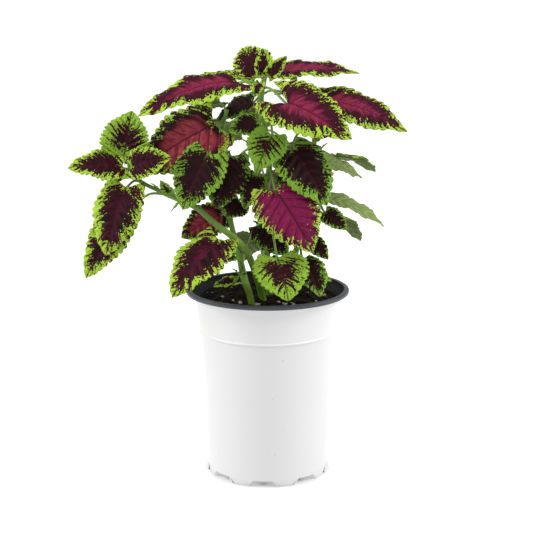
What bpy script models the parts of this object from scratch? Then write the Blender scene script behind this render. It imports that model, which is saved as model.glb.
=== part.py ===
"""A coleus plant in a nursery pot: a thin-walled pot, its soil and five leafy stems.

Each leafy stem is one body: a round stem, a petiole for every leaf, and toothed blades fused on
the petioles. Lengths in the tables are millimetres, in the part's own frame: X to the right, Y
away from the viewer and Z up from the surface that the pot stands on.
"""

import math

import bmesh
import bpy
from mathutils import Vector

MM = 0.001

# Pot: the outer side from the lip down, and the wall of one formed sheet.
RIM_RADIUS = 82.5
POT_HEIGHT = 191.0
LIP_HEIGHT = 4.0
LIP_INNER_RADIUS = 77.5
COLLAR_TOP = 180.2
COLLAR_RADIUS = 72.8
LEDGE_HEIGHT = 147.6
LEDGE_RADIUS = 69.4
BODY_TOP_RADIUS = 68.2
BASE_RADIUS = 60.5
BASE_ROUND = 2.0
WALL = 1.5
FLOOR = 1.8
POT_STEPS = 40

# Foot channels: a trapezoid notch at the wall, running inward to a drainage hole.
CHANNELS = 8
CHANNEL_FIRST_TURN = math.radians(-4.6)
CHANNEL_HEIGHT = 6.3
CHANNEL_FOOT_WIDTH = 32.0
CHANNEL_TOP_WIDTH = 20.0
CHANNEL_INNER_RADIUS = 44.0
CHANNEL_SHEET = 1.5
DRAIN_RADIUS = 3.2
DRAIN_FROM_AXIS = 50.0

# Soil: fills the pot to about a finger's breadth below the lip.
SOIL_TOP = 181.0
SOIL_EDGE_RADIUS = 70.4
SOIL_RINGS = (0.0, 18.0, 37.0, 56.0)
SOIL_BUMP = 2.2

# Leaves: sheet thickness, and teeth along each side of a full-sized blade.
BLADE_THICKNESS = 0.8
TEETH = 6
TOOTH_DEPTH = 0.06
PETIOLE_RADIUS = 1.25

# Each stem: points from its rooted end to its tip, and its radius at both ends.
STEMS = {
    "leafy_stem_left": (
        ((-4, -12, 140), (-5, -13, 182), (-16, -22, 222), (-27, -27, 242), (-53, -32, 264),
         (-70, -32, 279), (-91, -30, 288), (-107, -27, 295), (-122, -25, 302), (-137, -22, 313)),
        4.3, 1.5),
    "leafy_stem_front": (
        ((-15, -33, 142), (-16, -32, 182), (-23, -34, 208), (-29, -22, 232), (-37, -12, 263),
         (-40, -4, 292), (-45, 2, 321), (-46, 3, 346), (-40, 2, 371)),
        3.5, 1.6),
    "leafy_stem_centre": (
        ((3, 2, 138), (2, 0, 188), (-2, 0, 240), (-2, -4, 286), (2, -8, 320), (-2, -6, 352),
         (-6, -2, 381), (-3, 0, 401)),
        4.0, 1.8),
    "leafy_stem_right": (
        ((17, 15, 140), (19, 14, 193), (29, 12, 227), (37, 10, 264), (44, 8, 300), (47, 6, 330),
         (42, 4, 361), (30, 4, 388)),
        3.2, 1.6),
    "leafy_stem_back": (
        ((-2, 38, 140), (-2, 40, 192), (-6, 46, 237), (-10, 52, 284), (-12, 54, 325),
         (-10, 55, 364), (-6, 54, 392)),
        3.4, 1.7),
}

# Each leaf: where its petiole leaves the stem (0 root, 1 tip), its base and tip, its width, the
# way its upper face looks, then arch, fold, curl and wave.
LEAVES = {
    "leafy_stem_left": (
        (0.95, (-141, -16, 327), (-133, -8, 371), 50, (-0.2, -1.0, 0.15), 3, 14, 0.05, 1.5),
        (0.97, (-140, -24, 318), (-193, -42, 319), 42, (0.0, -0.6, 0.8), 4, 8, 0.15, 1.5),
        (0.97, (-134, -34, 319), (-93, -44, 330), 32, (0.05, -0.9, 0.45), 3, 10, 0.1, 1.2),
        (0.90, (-137, -36, 302), (-157, -54, 235), 50, (-0.3, -0.9, 0.3), 5, 8, 0.15, 1.5),
        (0.72, (-140, -10, 270), (-181, -24, 206), 42, (-0.3, -0.9, 0.3), 5, 8, 0.1, 1.5),
        (0.99, (-137, -27, 314), (-147, -36, 304), 10, (-0.3, -0.8, 0.5), 1, 10, 0.1, 0.3),
        (0.99, (-137, -18, 319), (-130, -8, 333), 11, (0.2, -0.9, 0.3), 1, 12, 0.0, 0.3),
        (0.60, (-94, -36, 293), (-104, -40, 307), 12, (-0.5, -0.8, 0.2), 1, 12, 0.1, 0.3),
    ),
    "leafy_stem_front": (
        (0.92, (-50, -10, 359), (-125, -22, 314), 72, (-0.3, -0.8, 0.5), 6, 5, 0.2, 2.0),
        (0.82, (-56, -36, 334), (-82, -52, 280), 52, (-0.3, -0.9, 0.3), 5, 7, 0.15, 1.5),
        (0.76, (-36, -20, 330), (-50, -30, 277), 46, (0.0, -1.0, 0.25), 4, 7, 0.15, 1.2),
        (0.97, (-46, 12, 378), (-76, 26, 366), 28, (-0.1, 0.5, 0.85), 2, 8, 0.1, 1.0),
        (0.86, (-34, 12, 338), (-54, 34, 355), 26, (0.2, -0.6, 0.8), 2, 9, 0.0, 0.8),
        (0.26, (-46, -48, 252), (-91, -90, 202), 54, (-0.35, -0.7, 0.65), 6, 6, 0.2, 2.0),
        (0.55, (-44, -2, 268), (-86, -14, 245), 40, (-0.1, -0.75, 0.65), 3, 8, 0.1, 1.2),
        (0.58, (-26, -12, 281), (-42, -26, 268), 26, (0.1, -0.8, 0.6), 2, 8, 0.1, 0.8),
        (0.24, (-30, -38, 240), (-39, -46, 248), 11, (-0.2, -0.8, 0.5), 1, 10, 0.1, 0.3),
        (0.22, (-31, -42, 233), (-41, -52, 229), 11, (-0.2, -0.8, 0.5), 1, 10, 0.1, 0.3),
        (0.30, (-31, -34, 206), (-54, -30, 199), 17, (-0.1, -0.4, 0.9), 2, 8, 0.1, 0.6),
    ),
    "leafy_stem_centre": (
        (0.93, (-27, -14, 401), (-124, -50, 370), 46, (-0.15, -0.55, 0.85), 10, 6, 0.2, 2.0),
        (0.98, (-7, 8, 403), (-26, 40, 429), 40, (-0.2, -0.75, 0.6), 3, 10, 0.05, 1.2),
        (1.00, (-4, 1, 404), (-5, 6, 431), 17, (0.0, -1.0, 0.2), 2, 14, 0.0, 0.4),
        (1.00, (0, -1, 404), (19, -5, 424), 15, (0.3, -0.9, 0.3), 1, 14, 0.0, 0.4),
        (0.99, (-7, -8, 399), (-13, -18, 385), 12, (-0.2, -0.9, 0.4), 1, 12, 0.1, 0.3),
        (0.94, (3, -34, 389), (79, -74, 351), 60, (0.25, -0.8, 0.55), 7, 5, 0.15, 2.0),
        (0.97, (4, 12, 408), (90, -4, 407), 40, (0.05, -0.35, 0.95), 5, 6, 0.15, 1.5),
        (0.88, (-13, 14, 379), (-52, 26, 356), 32, (-0.3, -0.5, 0.8), 4, 6, 0.1, 1.0),
        (0.82, (-8, -14, 361), (-38, -22, 352), 28, (0.0, -0.7, 0.7), 2, 6, 0.1, 0.8),
        (0.82, (5, -28, 351), (-10, -42, 317), 40, (-0.2, -0.95, 0.3), 3, 10, 0.05, 1.2),
        (0.66, (5, -44, 302), (43, -72, 242), 62, (0.1, -0.85, 0.5), 7, 6, 0.2, 2.0),
        (0.62, (-9, -20, 309), (-23, -32, 277), 25, (-0.4, -0.9, 0.0), 3, 12, 0.2, 0.8),
        (0.42, (9, -50, 234), (20, -80, 196), 54, (0.1, -0.75, 0.65), 5, 8, 0.15, 1.5),
        (0.48, (-8, -22, 261), (20, -38, 232), 34, (0.0, -0.9, 0.4), 3, 8, 0.15, 1.0),
        (0.36, (2, -16, 226), (10, -38, 213), 18, (0.1, -0.8, 0.6), 1, 8, 0.1, 0.5),
    ),
    "leafy_stem_right": (
        (1.00, (27, 10, 391), (22, 24, 405), 18, (0.3, 0.7, 0.5), 1, 8, 0.1, 0.5),
        (0.93, (49, -4, 383), (136, -24, 352), 50, (0.15, -0.6, 0.8), 8, 6, 0.2, 1.8),
        (0.80, (22, -26, 338), (57, -58, 285), 54, (0.3, -0.85, 0.4), 5, 7, 0.2, 1.8),
        (0.66, (14, -14, 311), (32, -26, 295), 24, (0.1, -0.9, 0.3), 2, 8, 0.1, 0.8),
        (0.36, (34, -20, 226), (51, -58, 195), 36, (0.3, -0.7, 0.65), 4, 8, 0.15, 1.2),
        (0.75, (56, 6, 320), (96, 18, 300), 30, (0.3, -0.3, 0.9), 3, 8, 0.1, 1.0),
        (0.60, (58, 2, 284), (117, -8, 255), 34, (0.25, -0.2, 0.95), 5, 8, 0.1, 1.2),
        (0.55, (56, -18, 272), (78, -30, 256), 21, (0.2, -0.85, 0.45), 2, 8, 0.1, 0.6),
        (0.42, (42, -16, 244), (60, -28, 226), 19, (0.2, -0.9, 0.35), 2, 8, 0.1, 0.6),
        (0.26, (42, 20, 206), (66, 24, 192), 18, (0.5, -0.5, 0.7), 2, 8, 0.1, 0.5),
        (0.70, (66, 30, 322), (112, 62, 300), 40, (0.4, 0.4, 0.8), 5, 7, 0.15, 1.4),
        (0.50, (60, 36, 262), (98, 66, 226), 38, (0.5, 0.5, 0.7), 5, 7, 0.15, 1.4),
    ),
    "leafy_stem_back": (
        (0.99, (-2, 70, 402), (10, 118, 398), 46, (0.1, 0.35, 0.95), 5, 8, 0.1, 1.5),
        (0.96, (-28, 62, 398), (-74, 84, 392), 40, (-0.3, 0.3, 0.9), 5, 8, 0.1, 1.4),
        (0.92, (18, 64, 384), (62, 84, 366), 46, (0.4, 0.5, 0.75), 6, 7, 0.15, 1.5),
        (0.86, (-8, 86, 366), (-14, 132, 330), 50, (0.0, 0.75, 0.65), 6, 7, 0.15, 1.6),
        (0.80, (-40, 68, 352), (-92, 92, 322), 48, (-0.45, 0.5, 0.7), 6, 7, 0.15, 1.6),
        (0.74, (22, 78, 330), (56, 112, 288), 48, (0.45, 0.65, 0.6), 6, 7, 0.15, 1.6),
        (0.66, (-34, 80, 312), (-66, 112, 268), 48, (-0.45, 0.7, 0.55), 6, 7, 0.15, 1.6),
        (0.60, (-4, 84, 296), (2, 124, 248), 50, (0.0, 0.8, 0.6), 6, 7, 0.15, 1.6),
        (0.48, (-42, 62, 262), (-84, 76, 228), 42, (-0.5, 0.4, 0.75), 5, 7, 0.15, 1.4),
        (0.44, (24, 72, 250), (48, 98, 206), 42, (0.45, 0.7, 0.55), 5, 7, 0.15, 1.4),
        (0.36, (-16, 74, 234), (-26, 104, 196), 42, (-0.2, 0.8, 0.55), 5, 7, 0.15, 1.4),
        (0.54, (-54, 40, 292), (-100, 38, 262), 40, (-0.5, 0.1, 0.85), 5, 7, 0.15, 1.4),
    ),
}


def clear_scene():
    for obj in list(bpy.data.objects):
        bpy.data.objects.remove(obj, do_unlink=True)


def make_collection(name):
    collection = bpy.data.collections.new(name)
    bpy.context.scene.collection.children.link(collection)
    return collection


def make_material(name, color, roughness):
    material = bpy.data.materials.new(name)
    material.use_nodes = True
    shader = material.node_tree.nodes["Principled BSDF"]
    shader.inputs["Base Color"].default_value = (*color, 1.0)
    shader.inputs["Roughness"].default_value = roughness
    shader.inputs["Metallic"].default_value = 0.0
    return material


def object_from_bmesh(bm, name, collection):
    bm.normal_update()
    bmesh.ops.recalc_face_normals(bm, faces=bm.faces)
    mesh = bpy.data.meshes.new(name)
    bm.to_mesh(mesh)
    bm.free()
    obj = bpy.data.objects.new(name, mesh)
    collection.objects.link(obj)
    return obj


def weld(mesh):
    """Joins the points that meet, and turns every face outward."""
    bm = bmesh.new()
    bm.from_mesh(mesh)
    bmesh.ops.remove_doubles(bm, verts=bm.verts, dist=0.00001)
    bm.normal_update()
    bmesh.ops.recalc_face_normals(bm, faces=bm.faces)
    bm.to_mesh(mesh)
    bm.free()


def apply_modifiers(obj):
    """Replaces the object's mesh with what its modifiers make of it."""
    graph = bpy.context.evaluated_depsgraph_get()
    mesh = bpy.data.meshes.new_from_object(obj.evaluated_get(graph))
    obj.modifiers.clear()
    obj.data = mesh


def join_collection(obj, collection, operation, solver):
    """Joins or cuts the object with all of a collection, then removes the collection's objects."""
    modifier = obj.modifiers.new(operation.title(), "BOOLEAN")
    modifier.operand_type = "COLLECTION"
    modifier.collection = collection
    modifier.operation = operation
    modifier.solver = solver
    apply_modifiers(obj)
    for member in list(collection.objects):
        bpy.data.objects.remove(member, do_unlink=True)
    bpy.data.collections.remove(collection)


def turned(name, profile, steps, collection):
    """A solid of revolution from (radius, height) points, outer side first and downward."""
    bm = bmesh.new()
    points = [bm.verts.new((r * MM, 0.0, z * MM)) for r, z in profile]
    for start, end in zip(points, points[1:]):
        bm.edges.new((start, end))
    mesh = bpy.data.meshes.new(name)
    bm.to_mesh(mesh)
    bm.free()
    obj = bpy.data.objects.new(name, mesh)
    collection.objects.link(obj)
    screw = obj.modifiers.new("Turn", "SCREW")
    screw.axis = "Z"
    screw.steps = steps
    screw.render_steps = steps
    screw.use_merge_vertices = True
    screw.merge_threshold = 0.00001
    apply_modifiers(obj)
    weld(obj.data)
    return obj


def tube(name, points, radii, sides_step, collection):
    """A round rod along the points, with its caps welded shut."""
    curve = bpy.data.curves.new(name, "CURVE")
    curve.dimensions = "3D"
    curve.bevel_depth = MM
    curve.bevel_resolution = sides_step
    curve.use_fill_caps = True
    spline = curve.splines.new("POLY")
    spline.points.add(len(points) - 1)
    for index, point in enumerate(points):
        spline.points[index].co = (*point, 1.0)
        spline.points[index].radius = radii[index]
    guide = bpy.data.objects.new(name + "_guide", curve)
    collection.objects.link(guide)
    graph = bpy.context.evaluated_depsgraph_get()
    mesh = bpy.data.meshes.new_from_object(guide.evaluated_get(graph))
    obj = bpy.data.objects.new(name, mesh)
    collection.objects.link(obj)
    obj.matrix_world = guide.matrix_world
    bpy.data.objects.remove(guide, do_unlink=True)
    bpy.data.curves.remove(curve)
    weld(mesh)
    return obj


def smooth_line(points, count):
    """Points at even steps along a Catmull-Rom curve through the given ones."""
    points = [Vector(point) for point in points]
    padded = [2 * points[0] - points[1], *points, 2 * points[-1] - points[-2]]
    spans = len(points) - 1
    line = []
    for step in range(count + 1):
        along = min(step / count * spans, spans - 1e-9)
        index = int(along)
        u = along - index
        a, b, c, d = padded[index:index + 4]
        line.append(0.5 * (2 * b + (c - a) * u + (2 * a - 5 * b + 4 * c - d) * u ** 2
                           + (3 * b - a - 3 * c + d) * u ** 3))
    return line


def soil_height(x, y):
    """Height of the uneven soil above a point, in millimetres."""
    bumps = (math.sin(0.19 * x + 0.7) * math.cos(0.17 * y - 0.4)
             + 0.5 * math.sin(0.31 * x - 0.23 * y + 1.9))
    return SOIL_TOP + SOIL_BUMP * bumps


def channel_prism(name, turn, margin, inner, outer, bottom, top, collection):
    """A trapezoid bar along a radius, at the pot's foot."""
    slope = (CHANNEL_FOOT_WIDTH - CHANNEL_TOP_WIDTH) / 2 / CHANNEL_HEIGHT
    bm = bmesh.new()
    bmesh.ops.create_cube(bm, size=1.0)
    for vert in bm.verts:
        reach = outer if vert.co.x > 0 else inner
        height = top if vert.co.z > 0 else bottom
        narrow = 0.28 * (BASE_RADIUS - reach)
        half = CHANNEL_FOOT_WIDTH / 2 - slope * height - narrow + margin
        side = math.copysign(half, vert.co.y)
        angle = turn - math.pi / 2
        vert.co = Vector((reach * math.cos(angle) - side * math.sin(angle),
                          reach * math.sin(angle) + side * math.cos(angle), height)) * MM
    return object_from_bmesh(bm, name, collection)


def channel_turns():
    return [CHANNEL_FIRST_TURN + index * 2 * math.pi / CHANNELS for index in range(CHANNELS)]


def make_pot(collection):
    outer = [
        (LIP_INNER_RADIUS, POT_HEIGHT),
        (RIM_RADIUS - 0.6, POT_HEIGHT),
        (RIM_RADIUS, POT_HEIGHT - 0.6),
        (RIM_RADIUS, POT_HEIGHT - LIP_HEIGHT),
        (RIM_RADIUS - 2.5, POT_HEIGHT - LIP_HEIGHT),
        (COLLAR_RADIUS, COLLAR_TOP),
        (LEDGE_RADIUS, LEDGE_HEIGHT),
        (BODY_TOP_RADIUS, LEDGE_HEIGHT - 0.6),
        (BASE_RADIUS + 0.4, BASE_ROUND),
        (BASE_RADIUS - BASE_ROUND, 0.0),
        (0.0, 0.0),
        (0.0, FLOOR),
        (BASE_RADIUS - BASE_ROUND - WALL, FLOOR),
        (BASE_RADIUS - WALL, BASE_ROUND + FLOOR),
        (BODY_TOP_RADIUS - WALL, LEDGE_HEIGHT - 1.4),
        (COLLAR_RADIUS - WALL, COLLAR_TOP - 1.0),
        (LIP_INNER_RADIUS, POT_HEIGHT - LIP_HEIGHT - 0.8),
        (LIP_INNER_RADIUS, POT_HEIGHT),
    ]
    pot = turned("pot", outer, POT_STEPS, collection)
    blocks = make_collection("channel_blocks")
    for index, turn in enumerate(channel_turns()):
        channel_prism(f"block_{index}", turn, CHANNEL_SHEET, CHANNEL_INNER_RADIUS - CHANNEL_SHEET,
                      BASE_RADIUS - 0.8, 0.5 * FLOOR, CHANNEL_HEIGHT + CHANNEL_SHEET, blocks)
    join_collection(pot, blocks, "UNION", "EXACT")
    channels = make_collection("channel_cutters")
    for index, turn in enumerate(channel_turns()):
        channel_prism(f"channel_{index}", turn, 0.0, CHANNEL_INNER_RADIUS, BASE_RADIUS + 8.0,
                      -1.0, CHANNEL_HEIGHT, channels)
        angle = turn - math.pi / 2
        bm = bmesh.new()
        bmesh.ops.create_cone(bm, cap_ends=True, segments=12, radius1=DRAIN_RADIUS * MM,
                              radius2=DRAIN_RADIUS * MM, depth=8.0 * MM)
        spot = Vector((DRAIN_FROM_AXIS * math.cos(angle), DRAIN_FROM_AXIS * math.sin(angle), 7.0))
        bmesh.ops.translate(bm, verts=bm.verts, vec=spot * MM)
        object_from_bmesh(bm, f"drain_{index}", channels)
    join_collection(pot, channels, "DIFFERENCE", "EXACT")
    return pot


def make_soil(collection):
    inner = BASE_RADIUS - WALL - 0.3
    profile = [(radius, SOIL_TOP) for radius in SOIL_RINGS]
    profile += [
        (SOIL_EDGE_RADIUS, SOIL_TOP - 2.0),
        (BODY_TOP_RADIUS - WALL - 0.4, LEDGE_HEIGHT - 1.4),
        (inner - 0.1, BASE_ROUND + FLOOR + 0.3),
        (inner - BASE_ROUND, FLOOR + 0.3),
        (0.0, FLOOR + 0.3),
    ]
    soil = turned("soil", profile, POT_STEPS, collection)
    for vert in soil.data.vertices:
        radius = math.hypot(vert.co.x, vert.co.y) / MM
        if vert.co.z > (SOIL_TOP - 3.0) * MM and radius < SOIL_EDGE_RADIUS - 1.0:
            vert.co.z = soil_height(vert.co.x / MM, vert.co.y / MM) * MM
    holes = make_collection("soil_cutters")
    for index, turn in enumerate(channel_turns()):
        channel_prism(f"room_{index}", turn, CHANNEL_SHEET + 0.4, CHANNEL_INNER_RADIUS - CHANNEL_SHEET - 0.4,
                      BASE_RADIUS + 8.0, -1.0, CHANNEL_HEIGHT + CHANNEL_SHEET + 0.4, holes)
    for name, (points, low, high) in STEMS.items():
        line, radii = stem_line(points, low, high)
        tube(name + "_hole", line[:7], [radius + 0.3 for radius in radii[:7]], 1, holes)
    join_collection(soil, holes, "DIFFERENCE", "EXACT")
    return soil


def stem_line(points, low, high):
    """The stem's smoothed line in metres and its radius at each point in millimetres."""
    count = 2 * (len(points) - 1)
    line = [point * MM for point in smooth_line(points, count)]
    radii = [low + (high - low) * step / count for step in range(count + 1)]
    return line, radii


def outline_share(s):
    """Half width of a blade at s, as a share of its greatest: a cut-off base and a drawn-out tip."""
    return ((s + 0.09) / 0.46) ** 0.55 * ((1.0 - s) / 0.63) ** 0.92


def blade_point(base, tip, width, face, arch, fold, curl, wave, s, t, teeth):
    """A point of the blade's sheet, s from base to tip and t from side to side."""
    axis = tip - base
    length = axis.length
    axis = axis / length
    normal = (face - axis * face.dot(axis)).normalized()
    side = axis.cross(normal)
    half = 0.5 * width * outline_share(s)
    edge = abs(t) ** 3
    saw = 1.0 - abs(2.0 * ((teeth * s) % 1.0) - 1.0)
    reach = half * (1.0 + edge * TOOTH_DEPTH * (2.0 * saw - 0.6) * (s < 0.999))
    along = s * length + edge * (0.3 * saw / teeth - 0.08 * (1.0 - s) ** 6) * length
    spread = abs(t) * reach
    ripple = wave * math.sin(2.0 * math.pi * 2.3 * s + 1.7 * math.copysign(1.0, t)) * t * t
    lift = (arch * 4.0 * s * (1.0 - s) + spread * math.sin(math.radians(fold))
            - curl * spread * t * t + ripple * min(1.0, 6.0 * (1.0 - s)))
    across = math.copysign(spread * math.cos(math.radians(fold)), t)
    return base + axis * along + side * across + normal * lift


def make_blade(name, leaf, collection):
    _, base, tip, width, face, arch, fold, curl, wave = leaf
    base = Vector(base)
    tip = Vector(tip)
    face = Vector(face)
    teeth = TEETH if width > 30 else TEETH - 2
    bm = bmesh.new()
    bmesh.ops.create_grid(bm, x_segments=4 if width > 20 else 2, y_segments=teeth, size=1.0)
    borders = [edge for edge in bm.edges if all(abs(vert.co.x) > 0.99 for vert in edge.verts)
               and edge.verts[0].co.x * edge.verts[1].co.x > 0]
    bmesh.ops.subdivide_edges(bm, edges=borders, cuts=1)
    bmesh.ops.triangulate(bm, faces=bm.faces)
    for vert in bm.verts:
        s = (vert.co.y + 1.0) / 2.0
        vert.co = blade_point(base, tip, width, face, arch, fold, curl, wave, s, vert.co.x, teeth) * MM
    bmesh.ops.remove_doubles(bm, verts=bm.verts, dist=0.00002)
    obj = object_from_bmesh(bm, name, collection)
    sheet = obj.modifiers.new("Sheet", "SOLIDIFY")
    sheet.thickness = BLADE_THICKNESS * MM
    sheet.offset = 0.0
    apply_modifiers(obj)
    return obj


def petiole_line(start, leaf):
    """From the stem to the blade's base, then on under the first third of its midrib."""
    _, base, tip, width, face, arch, fold, curl, wave = leaf
    base = Vector(base)
    tip = Vector(tip)
    face = Vector(face)
    axis = (tip - base).normalized()
    normal = (face - axis * face.dot(axis)).normalized()
    gap = (base - start).length
    bend = start.lerp(base, 0.55) + Vector((0.0, 0.0, 0.10 * gap)) - axis * 0.12 * gap
    run = smooth_line((start, bend, base), 3)
    rib = [blade_point(base, tip, width, face, arch, fold, curl, wave, s, 0.0, TEETH) - normal * 0.5
           for s in (0.33,)]
    return [point * MM for point in run + rib]


def make_leafy_stem(name, collection):
    points, low, high = STEMS[name]
    line, radii = stem_line(points, low, high)
    stem = tube(name, line, radii, 1, collection)
    members = make_collection(name + "_members")
    for index, leaf in enumerate(LEAVES[name]):
        step = min(leaf[0] * (len(line) - 1), len(line) - 1.001)
        start = line[int(step)].lerp(line[int(step) + 1], step % 1.0) / MM
        thick = PETIOLE_RADIUS * min(1.0, 0.55 + leaf[3] / 90.0)
        path = petiole_line(start, leaf)
        widths = [thick] * (len(path) - 1) + [0.5 * thick]
        tube(f"{name}_petiole_{index}", path, widths, 0, members)
        make_blade(f"{name}_blade_{index}", leaf, members)
    join_collection(stem, members, "UNION", "MANIFOLD")
    return stem


def main():
    clear_scene()
    collection = make_collection("potted_coleus")
    finishes = {
        "pot": make_material("pot_white", (0.80, 0.80, 0.79), 0.45),
        "soil": make_material("soil_dark", (0.030, 0.024, 0.020), 0.95),
        "leaf": make_material("leaf_maroon", (0.11, 0.02, 0.05), 0.55),
    }
    pieces = {"pot": make_pot(collection), "soil": make_soil(collection)}
    for name in STEMS:
        pieces[name] = make_leafy_stem(name, collection)
    for name, piece in pieces.items():
        piece.data.materials.clear()
        piece.data.materials.append(finishes.get(name, finishes["leaf"]))
        if name == "pot":
            piece.data.shade_smooth()
            piece.data.set_sharp_from_angle(angle=math.radians(30))


main()
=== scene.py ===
"""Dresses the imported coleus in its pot: fine toothed leaves, stems, soil and a formed pot.

Lengths are millimetres in the part's own frame, and become metres where a mesh takes them.
"""

import logging
import math
import random
from collections.abc import Callable
from dataclasses import dataclass
from enum import Enum

import bmesh
import bpy
import numpy as np
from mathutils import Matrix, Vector


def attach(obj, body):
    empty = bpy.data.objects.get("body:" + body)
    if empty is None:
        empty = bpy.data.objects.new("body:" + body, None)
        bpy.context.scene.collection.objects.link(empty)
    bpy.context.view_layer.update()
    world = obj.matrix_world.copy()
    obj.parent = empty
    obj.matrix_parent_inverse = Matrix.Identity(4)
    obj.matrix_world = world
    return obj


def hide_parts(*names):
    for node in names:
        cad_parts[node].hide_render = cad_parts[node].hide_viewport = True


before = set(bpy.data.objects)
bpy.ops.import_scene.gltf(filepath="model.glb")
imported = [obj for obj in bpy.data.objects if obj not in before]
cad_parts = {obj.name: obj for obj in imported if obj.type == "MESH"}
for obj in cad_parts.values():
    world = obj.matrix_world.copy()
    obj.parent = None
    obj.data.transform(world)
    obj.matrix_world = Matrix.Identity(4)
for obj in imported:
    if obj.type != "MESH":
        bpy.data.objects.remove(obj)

MM = 0.001
WELD = 0.00002
FINE_WELD = 0.00001
SECTION_SIDES = 20
CORNER = 0.09
ROD_BEVEL = 2
BODY = "root"
LOG = logging.getLogger("potted_coleus")
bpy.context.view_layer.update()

Point = tuple[float, float, float]
Range = tuple[float, float]
Screen = tuple[int, int, int]
Obj = bpy.types.Object
Socket = bpy.types.NodeSocket


def linear(screen: Screen) -> tuple[float, ...]:
    """Returns the shader's linear colour for a screen colour, with full alpha."""
    shares = [channel / 255.0 for channel in screen]
    return (*(v / 12.92 if v <= 0.04045 else ((v + 0.055) / 1.055) ** 2.4 for v in shares), 1.0)


def turned(x: float, y: float, angle: float) -> tuple[float, float]:
    """Returns a flat point turned about the origin by an angle."""
    cos, sin = math.cos(angle), math.sin(angle)
    return x * cos - y * sin, x * sin + y * cos


class NodeKit:
    """Builds one material's node tree from short calls."""

    def __init__(self, name: str) -> None:
        """Starts an empty Principled material.

        Args:
            name: The material's name.
        """
        self.material = bpy.data.materials.new(name)
        self.material.use_nodes = True
        self.tree = self.material.node_tree
        self.shader = self.tree.nodes["Principled BSDF"]
        self.place = self.node("ShaderNodeTexCoord").outputs["Object"]

    def put(self, socket: Socket, value: object) -> None:
        """Links a socket to another one, or sets its value."""
        if isinstance(value, Socket):
            self.tree.links.new(value, socket)
        else:
            socket.default_value = value

    def link(self, name: str, value: object) -> None:
        """Links or sets the shader's input of that name."""
        self.put(self.shader.inputs[name], value)

    def node(self, kind: str, inputs: dict | None = None, **settings: object) -> bpy.types.Node:
        """Adds a node.

        Args:
            kind: The node's type.
            inputs: Socket names or numbers with the value or socket each takes.
            settings: The node's own properties.

        Returns:
            The new node.
        """
        made = self.tree.nodes.new(kind)
        for key, value in settings.items():
            setattr(made, key, value)
        for key, value in (inputs or {}).items():
            self.put(made.inputs[key], value)
        return made

    def math(self, operation: str, first: object, second: object = 0.0) -> Socket:
        """Returns the value of a Math node on two inputs."""
        return self.node("ShaderNodeMath", {0: first, 1: second}, operation=operation).outputs[0]

    def plus(self, first: object, second: object) -> Socket:
        """Returns the sum of two values."""
        return self.math("ADD", first, second)

    def minus(self, first: object, second: object) -> Socket:
        """Returns the first value less the second."""
        return self.math("SUBTRACT", first, second)

    def times(self, first: object, second: object) -> Socket:
        """Returns the product of two values."""
        return self.math("MULTIPLY", first, second)

    def mix(self, share: object, first: Socket | Screen, second: Socket | Screen) -> Socket:
        """Mixes that share of the second colour into the first, each a socket or a screen one."""
        ends = [linear(end) if isinstance(end, tuple) else end for end in (first, second)]
        return self.node("ShaderNodeMix", {0: share, 6: ends[0], 7: ends[1]},
                         data_type="RGBA").outputs[2]

    def step(self, value: object, start: float, end: float) -> Socket:
        """Returns 0 at start, 1 at end and a smooth change between, rising or falling."""
        made = self.node("ShaderNodeMapRange", {0: value, 1: start, 2: end, 3: 0.0, 4: 1.0},
                         interpolation_type="SMOOTHSTEP")
        return made.outputs[0]

    def noise(self, scale: float, detail: float = 3.0, over: Socket | None = None) -> Socket:
        """Returns a noise value over the Object coordinates, or over other ones."""
        inputs = {"Vector": over or self.place, "Scale": scale, "Detail": detail}
        return self.node("ShaderNodeTexNoise", inputs).outputs[0]

    def sway(self, value: object, *noises: tuple[Socket, float]) -> Socket:
        """Sways a value by noises about their middle, each given with its reach."""
        for noise, reach in noises:
            value = self.plus(value, self.times(self.minus(noise, 0.5), reach))
        return value

    def marks(self, name: str) -> tuple[Socket, ...]:
        """Returns the three numbers of the piece's own attribute."""
        read = self.node("ShaderNodeAttribute", attribute_name=name).outputs["Vector"]
        return tuple(self.node("ShaderNodeSeparateXYZ", {0: read}).outputs)

    def vector(self, x: object, y: object, z: object) -> Socket:
        """Returns a vector made of three numbers."""
        return self.node("ShaderNodeCombineXYZ", {0: x, 1: y, 2: z}).outputs[0]

    def bump(self, height: Socket, strength: float, distance: float) -> None:
        """Gives the shader fine relief, whose depth is in metres."""
        inputs = {"Height": height, "Strength": strength, "Distance": distance}
        self.link("Normal", self.node("ShaderNodeBump", inputs).outputs[0])


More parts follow.
